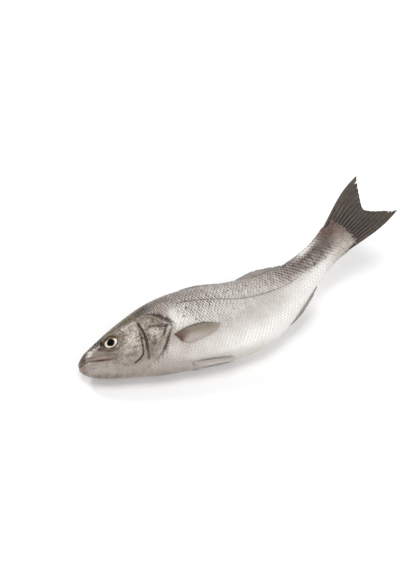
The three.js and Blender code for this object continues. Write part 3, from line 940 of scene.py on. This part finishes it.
def make_skin():
    rings, segments = len(ring_table()) - 1, SKIN_SEGMENTS_LEFT + SKIN_SEGMENTS_RIGHT
    skin, ring, segment = ball("bare_skin", segments, rings)
    s, angle, side, cover = skin_grid(ring, segment)
    h = height_at(s, angle)
    plain = smooth_skin(s, angle, side)
    socket, gap = socket_relief(plain, side)
    relief = head_relief(s, h) * ease(gap / 2) + socket + cover
    relief *= ease(np.minimum(s / 2.0, (BODY_LENGTH - s) / 1.0))
    points = plain + skin_normal(s, angle, side) * relief[:, None]
    jaw = 1.3 * (1 - share(s / 14)) ** 2 * ease((-1.5 - h) / 3)
    points -= spine_frame(s)[1] * jaw[:, None]
    place_points(skin, points)
    for name, values in skin_paints(s, h, gap, angle).items():
        paint(skin, name, values)
    bake_map(skin, s / SKIN_MAP_LENGTH, segment / segments, ring_closes=True)
    turn_faces_out(skin)
    finish_piece(skin, skin_material(), "body")


# ---- the scales

SCALE_FIRST, SCALE_LAST = 66.0, 304.5
SCALE_PITCHES = [(60, 3.6), (110, 3.4), (160, 3.2), (200, 3.2), (245, 3.9), (275, 3.9), (306, 2.8)]
ROW_SHARE = 0.86  # distance between rows of scales, as a share of their pitch along the fish
SCALE_RISE = 0.34  # height of a scale's free edge over the skin
SCALE_THICKNESS = 0.1
SCALE_ROOT = 0.3  # how far a scale's root lies before its place, in pitches
SCALE_ACROSS, SCALE_ALONG = 6, 2
STREAKS = 60  # different lucks down a column of scales
STREAK_ROWS = 3


def pitch_at(s):
    """How far apart the scales lie along the fish."""
    places, pitches = np.array(SCALE_PITCHES).T
    return np.interp(s, places, pitches)


ARC_S = np.linspace(40, BODY_LENGTH, 360)
ARC_ANGLES = np.linspace(90, -90, 361)
ARC_GRID = np.arange(-90.0, 70.0, 0.5)


def arc_table():
    """For each distance from the snout, the angle at each arc above the lateral line."""
    s, angle = np.meshgrid(ARC_S, ARC_ANGLES, indexing="ij")
    points = smooth_skin(s, angle, np.full_like(s, LEFT))
    run = np.linalg.norm(np.diff(points, axis=1), axis=2)
    run = np.concatenate([np.zeros((len(ARC_S), 1)), np.cumsum(run, axis=1)], axis=1)
    heights = height_at(s, angle)
    table, tops, ends = [], [], []
    for k, line in enumerate(lateral_height(np.clip(ARC_S, 70, 306))[:, 0]):
        at_line = np.interp(-line, -heights[k], run[k])
        above = at_line - run[k]
        table.append(np.interp(ARC_GRID, above[::-1], ARC_ANGLES[::-1]))
        tops.append(above[0])
        ends.append(above[-1])
    return np.array(table), np.array(tops), np.array(ends)


arc_angles, arc_tops, arc_ends = arc_table()


def angle_at(s, arc):
    i = np.clip((s - ARC_S[0]) / (ARC_S[1] - ARC_S[0]), 0, len(ARC_S) - 1.001)
    j = np.clip((arc - ARC_GRID[0]) / (ARC_GRID[1] - ARC_GRID[0]), 0, len(ARC_GRID) - 1.001)
    i0, j0 = i.astype(int), j.astype(int)
    di, dj = i - i0, j - j0
    low = lerp(arc_angles[i0, j0], arc_angles[i0, j0 + 1], dj)
    high = lerp(arc_angles[i0 + 1, j0], arc_angles[i0 + 1, j0 + 1], dj)
    return lerp(low, high, di)


def to_free_edge(back):
    """Share of the way from a scale's root to the tip of its free edge."""
    return (back + SCALE_ROOT) / (1 + SCALE_ROOT)


def scale_places():
    """Distance, arc above the lateral line and row of each scale of one side."""
    places = []
    s, column = SCALE_FIRST, 0
    while s < SCALE_LAST:
        top, end = np.interp(s, ARC_S, arc_tops), np.interp(s, ARC_S, arc_ends)
        step = pitch_at(s) * ROW_SHARE
        for row in range(int(end / step), int(top / step) + 1):
            if (row + column) % 2 == 0:
                places.append((s, row * step, row))
        s += pitch_at(s) / 2
        column += 1
    places = np.array(places)
    s, arc, _ = places.T
    angle = angle_at(s, arc)
    edge = gill_edge(angle)[:, 0]
    nape = 14 * ease((angle - 44) / 30)
    kept = s > edge + np.where(angle > 33, 3.0, 1.6) + nape
    root = line_distance(s, height_at(s, angle), PECTORAL_ROOT)[0]
    return places[kept & (root > 2.5)]


def one_scale():
    """A single scale, a thin fan from a narrow root to a round free edge: how far its corners
    lie along and across the fish, their share of the way to the edge, and its faces."""
    piece, across, along, face = plate("one_scale", SCALE_ACROSS, SCALE_ALONG)
    turn = np.radians(lerp(-82, 82, across))
    back = lerp(-SCALE_ROOT * np.ones_like(turn), np.cos(turn) ** 0.5, along)
    wide = lerp(0.8 * np.sin(turn), 1.03 * np.sin(turn), along)
    turn_faces_out(piece)
    faces = [tuple(p.vertices) for p in piece.data.polygons]
    mesh = piece.data
    bpy.data.objects.remove(piece)
    bpy.data.meshes.remove(mesh)
    return back, wide, along, face, faces


def scale_mesh(name, points, faces):
    """One mesh of many scales, from an array of each one's corners and the faces of one."""
    count, corners, _ = points.shape
    mesh = bpy.data.meshes.new(name)
    step = np.arange(count)[:, None, None] * corners
    every = (np.array(faces) + step).reshape(-1, 4)
    mesh.from_pydata((points.reshape(-1, 3) * MM).tolist(), [], every.tolist())
    piece = bpy.data.objects.new(name, mesh)
    bpy.context.collection.objects.link(piece)
    return piece


def paint_scales(piece, pattern, s, angle, luck, show, line):
    back, wide, along, face, _ = pattern
    count = len(luck)
    paint(piece, "luck", np.repeat(luck, len(back), axis=1))
    paint(piece, "edge", np.tile(along, count))
    paint(piece, "shade", shade_at(s.ravel(), angle.ravel()))
    paint(piece, "show", share(show))
    # painted shade in the pocket under the free edge of the scale in front
    hidden = 0.25 - (back - 0.5 * abs(wide))
    paint(piece, "pocket_shade", np.tile(share(hidden / 0.35), count))
    paint(piece, "line", line)
    paint(piece, "russet", ease((s.ravel() - 284) / 14) * ease((angle.ravel() + 20) / 25))
    cells = math.ceil(math.sqrt(count))
    k = np.arange(count)[:, None]
    sheet = np.where(face > 0, 0.0, 0.02)
    u = (k % cells + 0.08 + 0.8 * to_free_edge(back) + sheet) / cells
    v = (k // cells + 0.08 + 0.4 * (wide + 1.03) + sheet) / cells
    bake_map(piece, u.ravel(), v.ravel())
    turn_faces_out(piece)


def lay_scales(name, places, side, pattern, rng):
    """One mesh of all the scales at places, each lapping over the next one behind."""
    back, wide, _, face, faces = pattern
    count = len(places)
    s0, arc0, _ = places.T[:, :, None]
    pitch = pitch_at(s0)
    plainly = share(side_value(scale_show, s0, angle_at(s0, arc0)))
    rise = lerp(0.12, 1.0, plainly) * rng.normal(1, 0.1, (count, 1))
    column = np.unique(places[:, 0], return_inverse=True)[1]
    patch = (places[:, 2] // STREAK_ROWS).astype(int) % STREAKS
    streak = rng.random((column.max() + 1, STREAKS))[column, patch]
    luck = 0.5 * rng.random((count, 1)) + 0.5 * streak[:, None]
    tilt = rng.normal(0, 0.1, (count, 1)) * plainly
    size = rng.normal(1, 0.03, (count, 1))
    s = s0 + back * pitch * size
    arc = arc0 + wide * pitch * ROW_SHARE * size
    out = lerp(-0.12, SCALE_RISE, to_free_edge(back)) * rise + tilt * wide
    out = out + np.where(face > 0, 0, -SCALE_THICKNESS)
    out = out + 0.08 * (1 - wide ** 2) * rise
    s = np.clip(s, 41, BODY_LENGTH - 0.4)
    angle = angle_at(s, arc)
    flat = (s.ravel(), angle.ravel(), side, out.ravel())
    points = on_skin(*flat).reshape(count, len(back), 3)
    above = points[:, :, 2].min(axis=1) > 0.25
    points, s, angle, arc, luck = (part[above] for part in (points, s, angle, arc, luck))
    piece = scale_mesh(name, points, faces)
    show = side_value(scale_show, s.ravel(), angle.ravel())
    strong = 0.8 * ease((s - 104) / 12) * lerp(1.0, 0.35, ease((s - 205) / 20))
    line = strong * ease(1 - abs(arc + 0.25 * np.sin(s / 2.1)) / 1.15)
    paint_scales(piece, pattern, s, angle, luck, show, line.ravel())
    return piece


# The small scales on the root of the tail fin: where they start and end, the columns of them,
# their pitch, and the distance between their rows.
TAIL_SCALES_START, TAIL_SCALES_END = 294, 311.3
TAIL_SCALE_COLUMNS = 19
TAIL_SCALE_PITCH = 2.2
TAIL_ROW = 1.8


def tail_root_places():
    """Places of the small scales that run out over the root of the tail fin."""
    places = []
    for column in range(TAIL_SCALE_COLUMNS):
        s = TAIL_SCALES_START + column * TAIL_SCALE_PITCH / 2
        rows = int((15.2 + 0.1 * (s - TAIL_SCALES_START)) / TAIL_ROW)
        for row in range(-rows, rows + 1):
            end = TAIL_SCALES_END - 2.5 * (row / rows) ** 2 + 1.2 * math.sin(2.3 * row)
            if (row + column) % 2 == 0 and s < end:
                places.append((s, row * TAIL_ROW - 0.4))
    return np.array(places)


def lay_tail_root_scales(side, pattern, rng):
    back, wide, _, face, faces = pattern
    places = tail_root_places()
    count = len(places)
    s = places[:, 0][:, None] + back * TAIL_SCALE_PITCH
    height = places[:, 1][:, None] + wide * TAIL_ROW
    luck = rng.random((count, 1))
    root_back, belly, half, _ = section(s)
    level = height / np.maximum(np.where(height > 0, root_back, belly), 0.1)
    flesh = half * np.sqrt(share(1 - level**2))
    thick = np.maximum(flesh, lerp(1.35, 0.85, ease((s - 305) / 7))) + 0.15
    out = thick + lerp(-0.2, 0.25, to_free_edge(back))
    out = out + rng.normal(0, 0.05, (count, 1)) * wide + np.where(face > 0, 0, -0.1)
    points = on_middle(s, height, side * out)
    name = "left_tail_root_scales" if side == LEFT else "right_tail_root_scales"
    piece = scale_mesh(name, points, faces)
    angle = np.degrees(np.arcsin(np.clip(height / 19, -1, 1)))
    show = np.full(s.size, 0.5)
    paint_scales(piece, pattern, s, angle, luck, show, np.zeros(s.size))
    return piece


def make_scales():
    rng = np.random.default_rng(11)
    pattern = one_scale()
    places = scale_places()
    material = scale_material()
    for side, name in ((LEFT, "left"), (RIGHT, "right")):
        for part, chosen in (("back", places[:, 2] > 0), ("flank", places[:, 2] <= 0)):
            scales = lay_scales(f"{name}_{part}_scales", places[chosen], side, pattern, rng)
            finish_piece(scales, material)
        finish_piece(lay_tail_root_scales(side, pattern, rng), material)


# ---- fins


def ray_ridge(v, rays, reach):
    """Relief of the rays across a fin, each forking in two on the way to the margin: 0 to 1."""
    ridge = [abs(np.sin(math.pi * v * rays * k)) ** 1.2 for k in (1, 2)]
    return lerp(ridge[0], ridge[1], ease((reach - 0.45) / 0.3))


def ragged(v, rays, depth, rng, notches=()):
    """How much of a ray is missing at the margin: worn tips, and deeper splits between rays."""
    worn = rng.random(rays + 1) * depth
    lost = np.interp(v * rays, np.arange(rays + 1), worn)
    lost = lost + depth * 0.8 * abs(np.cos(math.pi * v * rays)) ** 6
    for place, width, deep in notches:
        lost = lost + deep * share(1 - abs(v - place) / width)
    return lost


def finish_fin(piece, node, material, v, u, face, reach, ray):
    """Paints a fin's rays, maps its two faces side by side and gives it its material."""
    paint(piece, "ray", ray)
    paint(piece, "reach", reach)
    paint(piece, "across", v)
    bake_map(piece, v * 0.49 + np.where(face > 0, 0, 0.5), u)
    turn_faces_out(piece)
    finish_piece(piece, material, node)


def tail_ray(u, v):
    across = 1 - 2 * v
    outer = abs(across)
    fork = np.hypot(outer, 0.12) - 0.02 * (1 - outer)
    root_back = -lerp(TAIL_ROOT, TAIL_MIDDLE_ROOT, np.sqrt(share(1 - outer**2)))
    back, belly, _, _ = np.moveaxis(profile(1 + root_back / BODY_LENGTH), -1, 0)
    root = across * (np.where(across > 0, back, belly) * BODY_DEPTH - TAIL_INSET)
    tip_back = TAIL_FIN_LENGTH - TAIL_FIN_NOTCH * (1 - np.minimum(fork, 1) ** 1.25)
    tip = np.where(across > 0, TAIL_UPPER_LOBE, -TAIL_LOWER_LOBE) * outer**1.1
    bow = np.where(across > 0, 1.15, 1.0) * TAIL_EDGE_BOW * across * np.sin(math.pi * u**1.5)
    return lerp(root_back, tip_back, u), lerp(root, tip, u) + bow


def make_tail_fin(rng):
    piece, v, u, face = plate("tail_fin_rays", 280, 52)
    notches = [(0.075, 0.014, 0.05), (0.15, 0.01, 0.02), (0.9, 0.012, 0.05), (0.945, 0.01, 0.04)]
    reach = u * (1 - ragged(v, TAIL_RAYS, 0.014, rng, notches) * ease(np.minimum(v, 1 - v) / 0.03))
    back, height = tail_ray(reach, v)
    ridge = ray_ridge(v, TAIL_RAYS, reach)
    edge = ease((0.035 - np.minimum(v, 1 - v)) / 0.03)
    half = lerp(1.25, 0.3, reach**0.6) * (1 - 0.3 * edge) + (ridge - 0.5) * lerp(0.35, 0.12, reach)
    ripple = 0.5 * np.sin(9 * v + 2) * reach + 0.25 * np.sin(23 * v) * reach**2
    place_points(piece, on_middle(BODY_LENGTH + back, height, face * half + ripple))
    middle = ease(1.6 * (1 - abs(v - 0.55) / 0.5))
    gaps = (1 - abs(np.sin(math.pi * v * TAIL_RAYS))) ** lerp(0.6, 1.1, reach)
    gaps *= lerp(0.35, 1.8, middle) * lerp(1.0, 0.55, ease((reach - 0.35) / 0.5))
    forks = (1 - abs(np.sin(math.pi * v * 2 * TAIL_RAYS))) ** 1.4 * 0.55 * ease((reach - 0.35) / 0.2)
    ray = share(np.maximum(gaps, forks))
    colours = (58, 47, 38), (90, 78, 66), (60, 45, 36)
    material = fin_material("wet dark tail fin", *colours, 0.97, coat=0.1)
    finish_fin(piece, "tail_fin", material, v, u, face, reach, ray)


# Fins of the middle line: node; stations of the first and last ray; how far the tips sweep back
# and stand up; 1 on the back or -1 on the belly; where along it the fin is highest; its rays
MIDDLE_FINS = [
    ("spiny_dorsal_fin", 0.345, 0.5, 14, 2.6, 1, 0.46, 9),
    ("soft_dorsal_fin", 0.565, 0.715, 18, 6.5, 1, 0.37, 13),
    ("anal_fin", 0.65, 0.775, 14, 3, -1, 0.37, 12),
]


def make_middle_fin(node, first, last, sweep, rise, edge, peak, rays, material, rng):
    piece, v, u, face = plate(f"{node}_rays", 12 * rays, 12)
    lean = math.log(0.5) / math.log(peak)
    reach = u * (1 - ragged(v, rays, 0.1, rng))
    s = lerp(first, last, v) * BODY_LENGTH + reach * sweep
    back, belly, _, _ = section(s)
    skin = back if edge > 0 else belly
    top = rise * np.sin(math.pi * v**lean) ** 0.7
    height = skin - 1.0 + reach * (top + 1.3)
    ridge = abs(np.cos(math.pi * v * rays)) ** 2
    half = lerp(0.65, 0.3, reach) + 0.3 * (ridge - 0.5)
    place_points(piece, on_middle(s, edge * height, face * half))
    finish_fin(piece, node, material, v, u, face, reach, 1 - ridge)


# base of a paired fin, as distances and angles of its first and last ray; rows of its margin:
# ray, reach, angle; how far its first ray arches; its length
PECTORAL = {
    "base": [(98.8, -10), (103.1, -22)],
    "margin": [
        (0, 0.88, -9), (0.22, 1.0, -12.5), (0.5, 0.93, -18), (0.75, 0.66, -24), (1, 0.24, -29),
    ],
    "bow": 5,
    "length": PECTORAL_LENGTH,
}
PELVIC = {
    "base": [(107.1, -64), (110.2, -74)],
    "margin": [(0, 0.92, -70), (0.3, 1.0, -75), (0.6, 0.9, -80), (1, 0.45, -84)],
    "bow": 3,
    "length": PELVIC_LENGTH,
}


def make_flank_fin(node, fin, side, lift, rays, material, rng, pressed=False):
    piece, v, u, face = plate(f"{node}_rays", 8 * rays, 34)
    (s_top, a_top), (s_low, a_low) = fin["base"]
    tip, tip_angle = np.moveaxis(smooth(fin["margin"])(v), -1, 0)
    reach = u * (1 - ragged(v, rays, 0.03, rng))
    tip_s = (s_top + s_low) / 2 + tip * fin["length"]
    s = lerp(lerp(s_top, s_low, v), tip_s, reach)
    arch = fin["bow"] * (1 - v) * np.sin(math.pi * reach)
    angle = lerp(lerp(a_top, a_low, v), tip_angle, reach) + arch
    ridge = ray_ridge(v, rays, reach)
    half = lerp(0.6, 0.22, reach) + (ridge - 0.5) * lerp(0.3, 0.1, reach)
    if pressed:
        points = on_skin(s, angle, side)
        points[:, 2] = 0.65 - face * np.minimum(half, 0.6)
    else:
        out = 0.75 - 0.25 * v + lift * (1 - 0.95 * v) * np.sin(math.pi * reach / 2) ** 2
        root = 0.9 * ease((0.22 - reach) / 0.2) * np.sin(math.pi * share(v)) ** 0.5
        points = on_skin(s, angle, side, out + face * (half + root))
    place_points(piece, points)
    finish_fin(piece, node, material, v, u, face, reach, 1 - ridge)


def make_fins():
    rng = np.random.default_rng(5)
    make_tail_fin(rng)
    colours = (146, 136, 127), (176, 167, 159), (158, 149, 141)
    grey = fin_material("wet folded fins", *colours, 0.4, rim=0.8)
    colours = (134, 121, 104), (160, 148, 131), (104, 78, 68)
    tan = fin_material("wet pectoral fin", *colours, 0.5, pale=(198, 187, 178))
    colours = (186, 175, 168), (200, 191, 184), (182, 166, 160)
    pale = fin_material("wet pelvic fin", *colours, 0.3, pale=(210, 203, 198))
    for row in MIDDLE_FINS:
        make_middle_fin(*row, grey, rng)
    make_flank_fin("left_pectoral_fin", PECTORAL, LEFT, 3, 15, tan, rng)
    make_flank_fin("right_pectoral_fin", PECTORAL, RIGHT, 0, 15, tan, rng, pressed=True)
    make_flank_fin("left_pelvic_fin", PELVIC, LEFT, 1, 6, pale, rng)
    make_flank_fin("right_pelvic_fin", PELVIC, RIGHT, 1, 6, pale, rng)


# ---- eyes


EYE_SEGMENTS, EYE_RINGS = 64, 40


def make_eye(node, side, material):
    piece, ring, segment = ball(f"{node}_ball", EYE_SEGMENTS, EYE_RINGS)
    polar, turn = ring / EYE_RINGS * math.pi, segment / EYE_SEGMENTS * 2 * math.pi
    place, axis, tailward, backward = eye_axes(side)
    x = EYE_RADIUS * np.sin(polar) * np.cos(turn)
    y = EYE_RADIUS * np.sin(polar) * np.sin(turn)
    front = np.cos(polar)
    out = np.where(front > 0, EYE_BULGE, EYE_DEPTH) * front
    points = place + np.outer(out, axis) + np.outer(x, tailward) + np.outer(y, backward)
    place_points(piece, points)
    behind = np.where(front > -0.01, 0, 9)
    pear = np.where(x < 0, 1 + 0.06 * x, 1)
    pupil = np.hypot(x + 0.1, (y + 1.7) / np.clip(pear, 0.6, 1)) / 4.25
    paint(piece, "pupil", pupil + behind)
    paint(piece, "ring", np.hypot((x - 0.1) / 7.1, (y + 1.5) / 5.7) + behind)
    # the eye's darker top, with painted shade of the brow over it
    paint(piece, "dark_top_and_brow_shade", ease((y - 0.7 + 0.2 * x) / 1.5))
    turn_faces_out(piece)
    finish_piece(piece, material, node)


def make_eyes():
    material = eye_material()
    make_eye("left_eye", LEFT, material)
    make_eye("right_eye", RIGHT, material)


# ---- floor, light and camera

CAMERA_AZIMUTH, CAMERA_ELEVATION = -24.95, 57.0
CAMERA_DISTANCE = 1379.7
CAMERA_TARGET = (69.965, 43.896, 19.225)
CAMERA_LENS = 85
ROOM_LIGHT = 0.4

# name, place, target, size and power of each lamp, in metres and watts
LAMPS = [
    ("overhead", (0.1, 0.3, 1.6), (0.08, 0, 0), 0.9, 11),
    ("back", (-0.35, 1.15, 0.8), (0.05, 0, 0.02), 0.45, 10),
    ("front", (0.75, -1.15, 0.95), (0.08, 0, 0.02), 1.1, 11),
]


def make_floor():
    start_mesh()
    bpy.ops.mesh.primitive_plane_add(size=30, location=(0, 0, -0.0002))
    floor = bpy.context.object
    floor.name = "floor"
    m = Shader("pale paper floor")
    m.feed("Base Color", m.mix(m.noise(180, 2), srgb(250, 250, 250), srgb(252, 252, 252)))
    m.set(Roughness=0.75)
    floor.data.materials.append(m.material)


def aim(thing, place, target):
    thing.location = place
    thing.rotation_euler = (Vector(target) - Vector(place)).to_track_quat("-Z", "Y").to_euler()


def make_lamp(name, place, target, size, power):
    start_mesh()
    bpy.ops.object.light_add(type="AREA")
    lamp = bpy.context.object
    lamp.name = name
    lamp.data.shape = "DISK"
    lamp.data.size = size
    lamp.data.energy = power
    aim(lamp, place, target)


def make_lights():
    world = bpy.data.worlds.new("soft room")
    bpy.context.scene.world = world
    world.use_nodes = True
    background = world.node_tree.nodes["Background"]
    background.inputs["Color"].default_value = (1, 1, 1, 1)
    background.inputs["Strength"].default_value = ROOM_LIGHT
    for lamp in LAMPS:
        make_lamp(*lamp)


def make_camera():
    azimuth, elevation = math.radians(CAMERA_AZIMUTH), math.radians(CAMERA_ELEVATION)
    target = Vector(CAMERA_TARGET) * MM
    away = Vector((
        math.sin(azimuth) * math.cos(elevation),
        -math.cos(azimuth) * math.cos(elevation),
        math.sin(elevation),
    ))
    start_mesh()
    bpy.ops.object.camera_add()
    camera = bpy.context.object
    camera.name = "camera"
    camera.data.lens = CAMERA_LENS
    camera.data.sensor_width = 36
    aim(camera, target + away * CAMERA_DISTANCE * MM, target)
    bpy.context.scene.camera = camera


make_camera()
make_floor()
make_lights()
make_skin()
make_scales()
make_fins()
make_eyes()

bpy.context.scene.view_settings.view_transform = "Standard"
